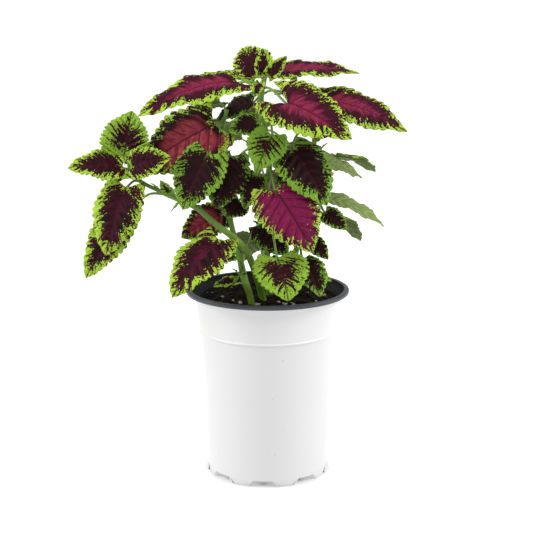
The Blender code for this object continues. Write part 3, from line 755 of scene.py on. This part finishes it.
@dataclass
class LeafyStem:
    """A stem with its petioles, and the toothed blades that they carry.

    The stem's radius runs from low at the soil to high at the tip, and no leaflets sprout at
    joints past the crowded share of its length.
    """

    name: str
    points: tuple[Point, ...]
    low: float
    high: float
    leaves: tuple[Leaf, ...]
    thickness: float = 0.45
    petiole: float = 1.25
    crowded: float = 0.80
    swelling: float = 0.16
    rib_at: tuple[float, ...] = (0.08, 0.2, 0.35, 0.5, 0.65, 0.8)
    rib_shares: tuple[float, ...] = (0.8, 0.62, 0.5, 0.38, 0.28, 0.18)

    def blade(self, index: int, leaf: Leaf, seed: float) -> Obj:
        """Makes one blade as a thin closed sheet.

        Args:
            index: The leaf's number on its stem.
            leaf: The leaf.
            seed: The leaf's own number.

        Returns:
            The blade, with its look held in attributes.
        """
        rows, columns = (66, 30) if leaf.width > 30 else (44, 20) if leaf.width > 15 else (20, 8)
        obj = add(bpy.ops.mesh.primitive_grid_add, f"blade_{self.name}_{index}",
                  x_subdivisions=columns, y_subdivisions=rows, size=2.0)
        mesh = obj.data
        flat = np.empty(len(mesh.vertices) * 3)
        mesh.vertices.foreach_get("co", flat)
        flat = flat.reshape(-1, 3)
        s = np.clip((flat[:, 1] + 1.0) / 2.0, 0.0, 1.0)
        t = np.sign(flat[:, 0]) * np.clip(np.abs(flat[:, 0]), 0.0, 1.0) ** 0.85
        points, marks = leaf.surface(s, t, seed)
        mesh.vertices.foreach_set("co", (points * MM).ravel())
        self.mark(mesh, leaf, t, marks, seed)
        mend(obj, weld=WELD)
        self.face_up(obj, leaf)
        dress(obj, "leaf_under" if leaf.kind is LeafKind.PALE else "leaf_upper", "leaf_under")
        apply_modifier(obj, "SOLIDIFY", thickness=self.thickness * MM, offset=-1.0,
                       material_offset=1, material_offset_rim=0)
        obj.data.shade_smooth()
        return obj

    def mark(self, mesh: bpy.types.Mesh, leaf: Leaf, t: np.ndarray, marks: np.ndarray,
             seed: float) -> None:
        """Stores what the leaf's finish reads.

        Args:
            mesh: The blade's mesh.
            leaf: The leaf.
            t: Each point's place across, from -1 to 1.
            marks: Each point's rib count, distance from the edge and from the midrib.
            seed: The leaf's own number.
        """
        heart, margin, lime, rosy, shade = leaf.kind.value
        even = np.ones(len(t))
        heart_lean, rim_lean = (leaf.lean, 0.0) if leaf.kind is LeafKind.ROSY else (0.0, leaf.lean)
        stored = {
            "blade": (marks[:, 0] + 10.0 * (t > 0), marks[:, 1], 7.3 * seed * even),
            "look": (heart - heart_lean * t, margin - rim_lean * t, lime * even),
            "tint": (rosy * even, shade * even, marks[:, 2]),
        }
        for name, columns in stored.items():
            layer = mesh.attributes.new(name, "FLOAT_VECTOR", "POINT")
            layer.data.foreach_set("vector", np.column_stack(columns).ravel())

    def face_up(self, obj: Obj, leaf: Leaf) -> None:
        """Turns the sheet's faces to the leaf's upper side.

        Args:
            obj: The sheet.
            leaf: The leaf whose normal it follows.
        """
        normals = np.empty(len(obj.data.polygons) * 3)
        obj.data.polygons.foreach_get("normal", normals)
        if normals.reshape(-1, 3).mean(axis=0) @ leaf.axes()[2] < 0:
            mend(obj, flip=True)

    def joint_place(self, leaf: Leaf, line: list[Vector]) -> Vector:
        """Returns the point of the stem's line where a leaf joins it."""
        step = min(leaf.joint * (len(line) - 1), len(line) - 1.001)
        return line[int(step)].lerp(line[int(step) + 1], step % 1.0)

    def petiole_rod(self, index: int, leaf: Leaf, line: list[Vector]) -> Obj:
        """Makes a petiole that runs on as the raised midrib under the blade.

        Args:
            index: The leaf's number.
            leaf: The leaf.
            line: The stem's line.

        Returns:
            The petiole and midrib.
        """
        start = self.joint_place(leaf, line)
        base = leaf.midrib(0.0, 0.9)
        gap = (base - start).length
        axis = Vector(leaf.axes()[0])
        bend = start.lerp(base, 0.55) + Vector((0.0, 0.0, 0.10 * gap)) - axis * 0.12 * gap
        run = smooth_line([start, bend, base], 12)
        thick = self.petiole * min(1.0, 0.55 + leaf.width / 90.0)
        rib = [leaf.midrib(s, 0.25 + thick * share)
               for s, share in zip(self.rib_at, self.rib_shares)]
        radii = [thick * (1.25 - 0.25 * min(1.0, place / 3.0)) for place in range(len(run))]
        radii += [thick * share for share in self.rib_shares]
        return rod(f"petiole_{self.name}_{index}", run + rib, radii)

    def stem_rod(self, line: list[Vector]) -> Obj:
        """Makes the stem, a little swollen where leaves join it.

        Args:
            line: The stem's line.

        Returns:
            The stem.
        """
        radii = []
        for step in range(len(line)):
            share = step / (len(line) - 1)
            swell = max(math.exp(-((share - leaf.joint) * 26.0) ** 2) for leaf in self.leaves)
            plain = self.low + (self.high - self.low) * share
            radii.append(plain * (1.0 + self.swelling * swell))
        section = edged_section()
        stem = rod(f"stem_{self.name}", line, radii, section)
        bpy.data.objects.remove(section, do_unlink=True)
        return stem

    def leaflets(self, line: list[Vector], number: int) -> list[Leaf]:
        """Returns the small paired leaflets that sprout above some of the leaf joints.

        Each open joint takes its draws also where it is too crowded for leaflets.

        Args:
            line: The stem's line.
            number: The stem's number, which seeds them.

        Returns:
            The leaflets.
        """
        draw = random.Random(400 + number)
        found = []
        for leaf in self.leaves:
            if leaf.width < 24 or leaf.joint > 0.96:
                continue
            start = self.joint_place(leaf, line)
            away = Vector(leaf.base) - start
            heading = math.atan2(away.y, away.x) + draw.uniform(-0.3, 0.3)
            for turn in (-0.7, 0.8):
                out = Vector((*turned(1.0, 0.0, heading + turn), 0.0))
                length = draw.uniform(8.0, 14.0)
                rise = Vector((0.0, 0.0, length * draw.uniform(0.1, 0.8)))
                base = start + out * (self.low + 1.0) + Vector((0.0, 0.0, 3.0))
                tip = base + out * length * 0.75 + rise
                face = Vector((0.0, 0.0, 1.0)) - out * 0.3
                if leaf.joint < self.crowded:
                    found.append(Leaf(leaf.joint, tuple(base), tuple(tip), length * 0.55,
                                      tuple(face), 0.6, 14, 0.1, 0.2, LeafKind.BUD))
        return found

    def build(self, number: int) -> None:
        """Makes the stem's two pieces and stands them for its solid.

        Args:
            number: The stem's number, which seeds its leaves.
        """
        line = smooth_line([Vector(point) for point in self.points], 8 * (len(self.points) - 1))
        rods = [self.stem_rod(line)]
        blades = []
        for index, leaf in enumerate([*self.leaves, *self.leaflets(line, number)]):
            rods.append(self.petiole_rod(index, leaf, line))
            blades.append(self.blade(index, leaf, 0.37 * number + 0.13 * index))
        stems = join(rods, f"stems_{self.name}")
        dress(stems, "stem_green")
        leaves = join(blades, f"leaves_{self.name}")
        finish_piece(stems)
        finish_piece(leaves, (f"leafy_stem_{self.name}",))


PLANT: tuple[LeafyStem, ...] = (
    LeafyStem("left", (
        (-4, -12, 140), (-5, -13, 182), (-16, -22, 222), (-27, -27, 242), (-53, -32, 264),
        (-70, -32, 279), (-91, -30, 288), (-107, -27, 295), (-122, -25, 302), (-137, -22, 313),
    ), 4.3, 1.5, LEFT_LEAVES),
    LeafyStem("front", (
        (-15, -33, 142), (-16, -32, 182), (-23, -34, 208), (-29, -22, 232), (-37, -12, 263),
        (-40, -4, 292), (-45, 2, 321), (-46, 3, 346), (-40, 2, 371),
    ), 3.5, 1.6, FRONT_LEAVES),
    LeafyStem("centre", (
        (3, 2, 138), (2, 0, 188), (-2, 0, 240), (-2, -4, 286), (2, -8, 320), (-2, -6, 352),
        (-6, -2, 381), (-3, 0, 401),
    ), 4.0, 1.8, CENTRE_LEAVES),
    LeafyStem("right", (
        (17, 15, 140), (19, 14, 193), (29, 12, 227), (37, 10, 264), (44, 8, 300), (47, 6, 330),
        (42, 4, 361), (30, 4, 388),
    ), 3.2, 1.6, RIGHT_LEAVES),
    LeafyStem("back", (
        (-2, 38, 140), (-2, 40, 192), (-6, 46, 237), (-10, 52, 284), (-12, 54, 325),
        (-10, 55, 364), (-6, 54, 392),
    ), 3.4, 1.7, BACK_LEAVES),
)


class PotLayer(Enum):
    """The layers of the pot's sheet, in the order of its material slots."""

    OUTSIDE = "pot_white"
    LIP = "pot_lip"
    INSIDE = "pot_inner"


@dataclass
class Pot:
    """The formed pot: rolled lip, flare, collar, ledge, tapered body and notched foot."""

    rim: float = 82.5
    height: float = 191.0
    lip: float = 4.0
    lip_inner: float = 77.5
    collar_top: float = 180.2
    collar: float = 72.8
    ledge_height: float = 147.6
    ledge: float = 69.4
    body_top: float = 68.2
    foot: float = 60.5
    wall: float = 1.5
    floor: float = 1.8
    channels: int = 8
    first_turn: float = math.radians(-4.6)
    channel_height: float = 6.3
    channel_foot: float = 32.0
    channel_top: float = 20.0
    channel_inner: float = 44.0
    channel_flare: float = 0.28
    drain_radius: float = 3.2
    drain_place: float = 50.0
    drain_middle: float = 7.0
    drain_length: float = 8.0
    steps: int = 160

    def profile(self) -> list[Range]:
        """Lists the sheet's closed section.

        Returns:
            (radius, height) points from the lip's inner edge down the outside, under the foot
            and up inside.
        """
        under = self.height - self.lip
        corners = (
            (self.lip_inner, self.height, ((0.0, -0.3), (0.5, 0.0))),
            (self.rim, self.height, ((-1.2, 0.0), (-0.4, -0.4), (0.0, -1.2))),
            (self.rim, under, ((0.0, 0.8), (-0.3, 0.2), (-0.9, 0.0), (-2.5, -0.2), (-3.4, -0.7))),
            (self.collar, self.collar_top, ((0.9, 0.9), (0.2, 0.1), (0.0, -0.8))),
            (self.ledge, self.ledge_height, ((0.1, 2.6), (0.6, 1.9), (0.7, 1.2), (0.4, 0.5))),
            (self.body_top, self.ledge_height, ((0.3, -0.2), (0.0, -1.0))),
            (self.foot, 0.0, ((0.45, 8.4), (0.2, 7.4), (0.35, 2.0), (-0.3, 0.7), (-2.0, 0.0))),
            (0.0, 0.0, ((30.0, 0.0), (0.0, 0.0), (0.0, self.floor))),
            (self.foot - self.wall, self.floor, ((-2.0, 0.0), (0.0, 2.0))),
            (self.body_top - self.wall, self.ledge_height, ((0.0, -1.4),)),
            (self.collar - self.wall, self.collar_top, ((0.0, -1.0),)),
            (self.lip_inner, under, ((-0.6, -1.6), (0.0, 0.0))),
        )
        return [(radius + out, height + up) for radius, height, steps in corners
                for out, up in steps]

    def bar(self, turn: float, margin: float, inner: float, outer: float, bottom: float,
            top: float) -> Obj:
        """Makes a trapezoid bar along a radius at the foot.

        Args:
            turn: The bar's angle from the front.
            margin: How much wider it is than a channel.
            inner: Its inner end's distance from the axis.
            outer: Its outer end's distance from the axis.
            bottom: Its lower height.
            top: Its upper height.

        Returns:
            The bar.
        """
        slope = (self.channel_foot - self.channel_top) / 2 / self.channel_height
        obj = add(bpy.ops.mesh.primitive_cube_add, "foot_bar", size=1.0)
        angle = turn - math.pi / 2
        for vert in obj.data.vertices:
            reach = outer if vert.co.x > 0 else inner
            height = top if vert.co.z > 0 else bottom
            flare = self.channel_flare * (self.foot - reach)
            half = self.channel_foot / 2 - slope * height - flare + margin
            side = math.copysign(half, vert.co.y)
            vert.co = Vector((*turned(reach, side, angle), height)) * MM
        mend(obj, outward=True)
        return obj

    def drain(self, turn: float) -> Obj:
        """Makes the round cutter of a drain hole through a channel's roof.

        Args:
            turn: The hole's angle from the front.

        Returns:
            The cutter.
        """
        angle = turn - math.pi / 2
        place = (*turned(self.drain_place * MM, 0.0, angle), self.drain_middle * MM)
        drain = add(bpy.ops.mesh.primitive_cylinder_add, "drain_cutter", vertices=32,
                    radius=self.drain_radius * MM, depth=self.drain_length * MM, location=place)
        bpy.ops.object.transform_apply(location=True, rotation=True, scale=True)
        return drain

    def combine(self, pot: Obj, tools: list[Obj], operation: str) -> None:
        """Joins or cuts the pot with all the tools.

        Args:
            pot: The pot.
            tools: The bodies that act on it, removed afterwards.
            operation: UNION or DIFFERENCE.
        """
        tool = join(tools, "foot_tool")
        apply_modifier(pot, "BOOLEAN", object=tool, operation=operation, solver="EXACT")
        bpy.data.objects.remove(tool, do_unlink=True)

    def build(self) -> None:
        """Makes the pot and stands it for its solid."""
        pot = add(bpy.ops.mesh.primitive_plane_add, "pot_shell", size=1.0)
        bm = bmesh.new()
        ring = [bm.verts.new((radius * MM, 0.0, height * MM)) for radius, height in self.profile()]
        for start, end in zip(ring, ring[1:] + ring[:1]):
            bm.edges.new((start, end))
        bm.to_mesh(pot.data)
        bm.free()
        apply_modifier(pot, "SCREW", axis="Z", steps=self.steps, render_steps=self.steps,
                       use_merge_vertices=True, merge_threshold=FINE_WELD)
        mend(pot, weld=FINE_WELD, outward=True)
        turns = [self.first_turn + index * 2 * math.pi / self.channels
                 for index in range(self.channels)]
        roofs = [self.bar(turn, self.wall, self.channel_inner - self.wall, self.foot - 0.8,
                          0.5 * self.floor, self.channel_height + self.wall) for turn in turns]
        self.combine(pot, roofs, "UNION")
        cutters = []
        for turn in turns:
            cutters.append(self.bar(turn, 0.0, self.channel_inner, self.foot + 8.0, -1.0,
                                    self.channel_height))
            cutters.append(self.drain(turn))
        self.combine(pot, cutters, "DIFFERENCE")
        self.paint(pot)
        finish_piece(pot, ("pot",))

    def layer(self, face: bpy.types.MeshPolygon) -> PotLayer:
        """Tells which layer of the sheet a face shows.

        Args:
            face: A face of the pot.

        Returns:
            The layer.
        """
        middle = face.center / MM
        radius = math.hypot(middle.x, middle.y)
        outward = (face.normal.x * middle.x + face.normal.y * middle.y) / max(radius, 1e-6)
        if middle.z > self.height - self.lip - 0.3 and radius > self.lip_inner + 0.1:
            return PotLayer.LIP
        on_wall = outward < -0.3 and radius > self.foot - 3.0 and middle.z > 2.0
        on_floor = face.normal.z > 0.5 and middle.z < 12.0
        return PotLayer.INSIDE if on_wall or on_floor else PotLayer.OUTSIDE

    def paint(self, pot: Obj) -> None:
        """Gives the outside, the lip and the inner layer their finishes.

        Args:
            pot: The pot.
        """
        layers = list(PotLayer)
        dress(pot, *(layer.value for layer in layers))
        for face in pot.data.polygons:
            face.material_index = layers.index(self.layer(face))
        activate(pot)
        bpy.ops.object.shade_smooth_by_angle(angle=math.radians(32))


@dataclass(frozen=True)
class Grains:
    """One kind of loose grain: how many, their radii, how flat, their finish and their seed."""

    name: str
    count: int
    low: float
    high: float
    flat: float
    finish: str
    seed: int


@dataclass
class Soil:
    """The soil's crumbly top, with bark chips and perlite grains."""

    top: float = 181.0
    edge: float = 70.0
    bump: float = 2.2
    rings: int = 70
    steps: int = 200
    thickness: float = 1.6
    slump: float = 1.2
    slump_from: float = 0.85
    calm_rim: float = 0.08
    strewn: tuple[Grains, ...] = (
        Grains("bark_chips", 150, 1.2, 3.4, 0.5, "bark_brown", 11),
        Grains("perlite_grains", 44, 0.9, 2.6, 0.8, "perlite_cream", 23),
    )

    def height(self, x: float, y: float) -> float:
        """Returns the coarse height of the soil above a point, in millimetres."""
        bumps = (math.sin(0.19 * x + 0.7) * math.cos(0.17 * y - 0.4)
                 + 0.5 * math.sin(0.31 * x - 0.23 * y + 1.9))
        return self.top + self.bump * bumps

    def crumb(self, x: float, y: float) -> float:
        """Returns the fine crumbs' height at a point, in millimetres."""
        rough = (math.sin(1.9 * x + 2.1 * math.sin(0.7 * y)) * math.cos(1.7 * y + math.sin(0.9 * x))
                 + 0.6 * math.sin(3.1 * x + 1.3 * y) * math.cos(2.7 * y - 0.8 * x))
        return 0.9 + 0.7 * rough

    def crust(self) -> None:
        """Makes the crumbly top as a closed slab over the soil's solid."""
        crust = add(bpy.ops.mesh.primitive_grid_add, "soil_crust", x_subdivisions=self.steps,
                    y_subdivisions=self.rings, size=2.0)
        for vert in crust.data.vertices:
            turn = (vert.co.x + 1.0) * math.pi
            share = (vert.co.y + 1.0) / 2.0
            x, y = turned(self.edge * share, 0.0, turn)
            slump = self.slump * max(0.0, share - self.slump_from) / (1.0 - self.slump_from)
            calm = min(1.0, (1.0 - share) / self.calm_rim)
            vert.co = Vector((x, y, self.height(x, y) + calm * self.crumb(x, y) - slump)) * MM
        mend(crust, weld=FINE_WELD, outward=True)
        if sum(face.normal.z for face in crust.data.polygons) < 0:
            mend(crust, flip=True)
        apply_modifier(crust, "SOLIDIFY", thickness=self.thickness * MM, offset=-1.0)
        crust.data.shade_smooth()
        dress(crust, "soil_crumb")
        finish_piece(crust)

    def scatter(self, kind: Grains) -> None:
        """Strews small uneven grains over the crust as one piece.

        Args:
            kind: The kind of grain.
        """
        draw = random.Random(kind.seed)
        grains = []
        for _ in range(kind.count):
            turn = draw.uniform(0.0, 2.0 * math.pi)
            radius = (self.edge - 2.0 * kind.high - 2.0) * math.sqrt(draw.random())
            x, y = turned(radius, 0.0, turn)
            size = draw.uniform(kind.low, kind.high)
            lift = self.height(x, y) + 0.9 + 0.35 * size * kind.flat
            grain = add(bpy.ops.mesh.primitive_ico_sphere_add, kind.name, subdivisions=2,
                        radius=size * MM)
            stretch = draw.uniform(0.7, 1.5)
            heading = draw.uniform(0.0, math.pi)
            for vert in grain.data.vertices:
                jag = draw.uniform(0.82, 1.16)
                px, py = turned(vert.co.x * stretch * jag, vert.co.y * jag, heading)
                vert.co = (px + x * MM, py + y * MM, vert.co.z * kind.flat * jag + lift * MM)
            grains.append(grain)
        piece = join(grains, kind.name)
        piece.data.shade_smooth()
        dress(piece, kind.finish)
        finish_piece(piece)

    def build(self) -> None:
        """Dresses the soil's solid and lays the crust and its grains."""
        dress(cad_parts["soil"], "soil_crumb")
        self.crust()
        for kind in self.strewn:
            self.scatter(kind)


@dataclass(frozen=True)
class Lamp:
    """A soft square lamp: its name, its place in metres, its power in watts and its edge."""

    name: str
    place: Point
    power: float
    size: float = 0.7


@dataclass
class Studio:
    """Camera at the photograph's angle, pale floor and soft light, in metres and degrees."""

    place: Point = (-0.0011, -1.4067, 0.5175)
    pitch: float = 12.22
    lens: float = 96.23
    sensor: float = 36.0
    aim: Point = (0.0, 0.0, 0.22)
    surround: float = 0.68
    floor_size: float = 12.0
    floor_drop: float = 0.0004
    floor_glow: float = 0.5
    # Painted shadow under and round the pot's foot: the floor's emission rises from none to full
    # between these distances from the axis, in metres.
    painted_shadow_ramp: Range = (0.060, 0.080)
    lamps: tuple[Lamp, ...] = (
        Lamp("left_softbox", (-1.3, -0.1, 0.9), 9.5),
        Lamp("right_softbox", (1.3, -0.1, 0.9), 9.5),
        Lamp("front_softbox", (0.0, -0.9, 1.6), 5.0),
    )

    def camera(self) -> None:
        """Sets up the camera."""
        data = bpy.data.cameras.new("photo_camera")
        data.lens = self.lens
        data.sensor_width = self.sensor
        camera = bpy.data.objects.new("photo_camera", data)
        camera.location = self.place
        camera.rotation_euler = (math.radians(90.0 - self.pitch), 0.0, 0.0)
        bpy.context.scene.collection.objects.link(camera)
        bpy.context.scene.camera = camera

    def light(self, lamp: Lamp) -> None:
        """Hangs a lamp that looks at the plant's middle.

        Args:
            lamp: The lamp.
        """
        data = bpy.data.lights.new(lamp.name, "AREA")
        data.size = lamp.size
        data.energy = lamp.power
        obj = bpy.data.objects.new(lamp.name, data)
        obj.location = lamp.place
        aim = Vector(self.aim) - Vector(lamp.place)
        obj.rotation_euler = aim.to_track_quat("-Z", "Y").to_euler()
        bpy.context.scene.collection.objects.link(obj)

    def floor(self) -> None:
        """Lays a pale floor that glows a little, with painted shadow under and round the pot's
        foot.
        """
        floor = add(bpy.ops.mesh.primitive_plane_add, "pale_floor", size=self.floor_size,
                    location=(0.0, 0.0, -self.floor_drop))
        kit = NodeKit("pale_floor")
        kit.link("Base Color", (0.92, 0.92, 0.92, 1.0))
        kit.link("Roughness", 0.9)
        kit.link("Specular IOR Level", 0.1)
        kit.link("Emission Color", (1.0, 1.0, 1.0, 1.0))
        away = kit.node("ShaderNodeVectorMath", {0: kit.place}, operation="LENGTH")
        # Painted shadow: no emission under the foot, so the floor seen through its channels is
        # dark, then a ramp that paints a contact shadow round the pot.
        glow_with_painted_shadow = kit.step(away.outputs["Value"], *self.painted_shadow_ramp)
        kit.link("Emission Strength", kit.times(glow_with_painted_shadow, self.floor_glow))
        floor.data.materials.append(kit.material)
        floor.visible_diffuse = False

    def world(self) -> None:
        """Makes a white surround that lights the plant less strongly than it looks."""
        world = bpy.data.worlds.new("studio")
        world.use_nodes = True
        tree = world.node_tree
        seen = tree.nodes.new("ShaderNodeLightPath")
        power = tree.nodes.new("ShaderNodeMapRange")
        power.inputs["To Min"].default_value = self.surround
        power.inputs["To Max"].default_value = 1.0
        tree.links.new(seen.outputs["Is Camera Ray"], power.inputs["Value"])
        tree.links.new(power.outputs[0], tree.nodes["Background"].inputs["Strength"])
        tree.nodes["Background"].inputs["Color"].default_value = (1.0, 1.0, 1.0, 1.0)
        bpy.context.scene.world = world

    def build(self) -> None:
        """Sets up the camera, the floor, the world and the lamps."""
        self.camera()
        self.floor()
        self.world()
        bpy.context.scene.view_settings.view_transform = "Standard"
        for lamp in self.lamps:
            self.light(lamp)


def make_finishes() -> None:
    """Builds every material once, so that pieces can take them by name."""
    for finish in (
        LeafFinish("leaf_upper", False, (70, 12, 32)),
        LeafFinish("leaf_under", True, (176, 196, 120)),
        StemFinish(),
        PotFinish("pot_white", (246, 246, 246), (242, 242, 241), 0.36),
        PotFinish("pot_lip", (56, 61, 68), (43, 48, 55), 0.36),
        PotFinish("pot_inner", (9, 9, 10), (15, 15, 16), 0.6),
        CrumbFinish("soil_crumb", (14, 11, 9), (44, 35, 28), 700.0),
        CrumbFinish("bark_brown", (30, 20, 13), (72, 50, 34), 500.0),
        CrumbFinish("perlite_cream", (176, 168, 146), (222, 216, 198), 600.0, 0.85),
    ):
        finish.build()


def main() -> None:
    """Builds the classes in order."""
    logging.basicConfig(level=logging.INFO)
    make_finishes()
    Pot().build()
    Soil().build()
    for number, stem in enumerate(PLANT):
        stem.build(number)
    Studio().build()


if __name__ == "__main__":
    main()
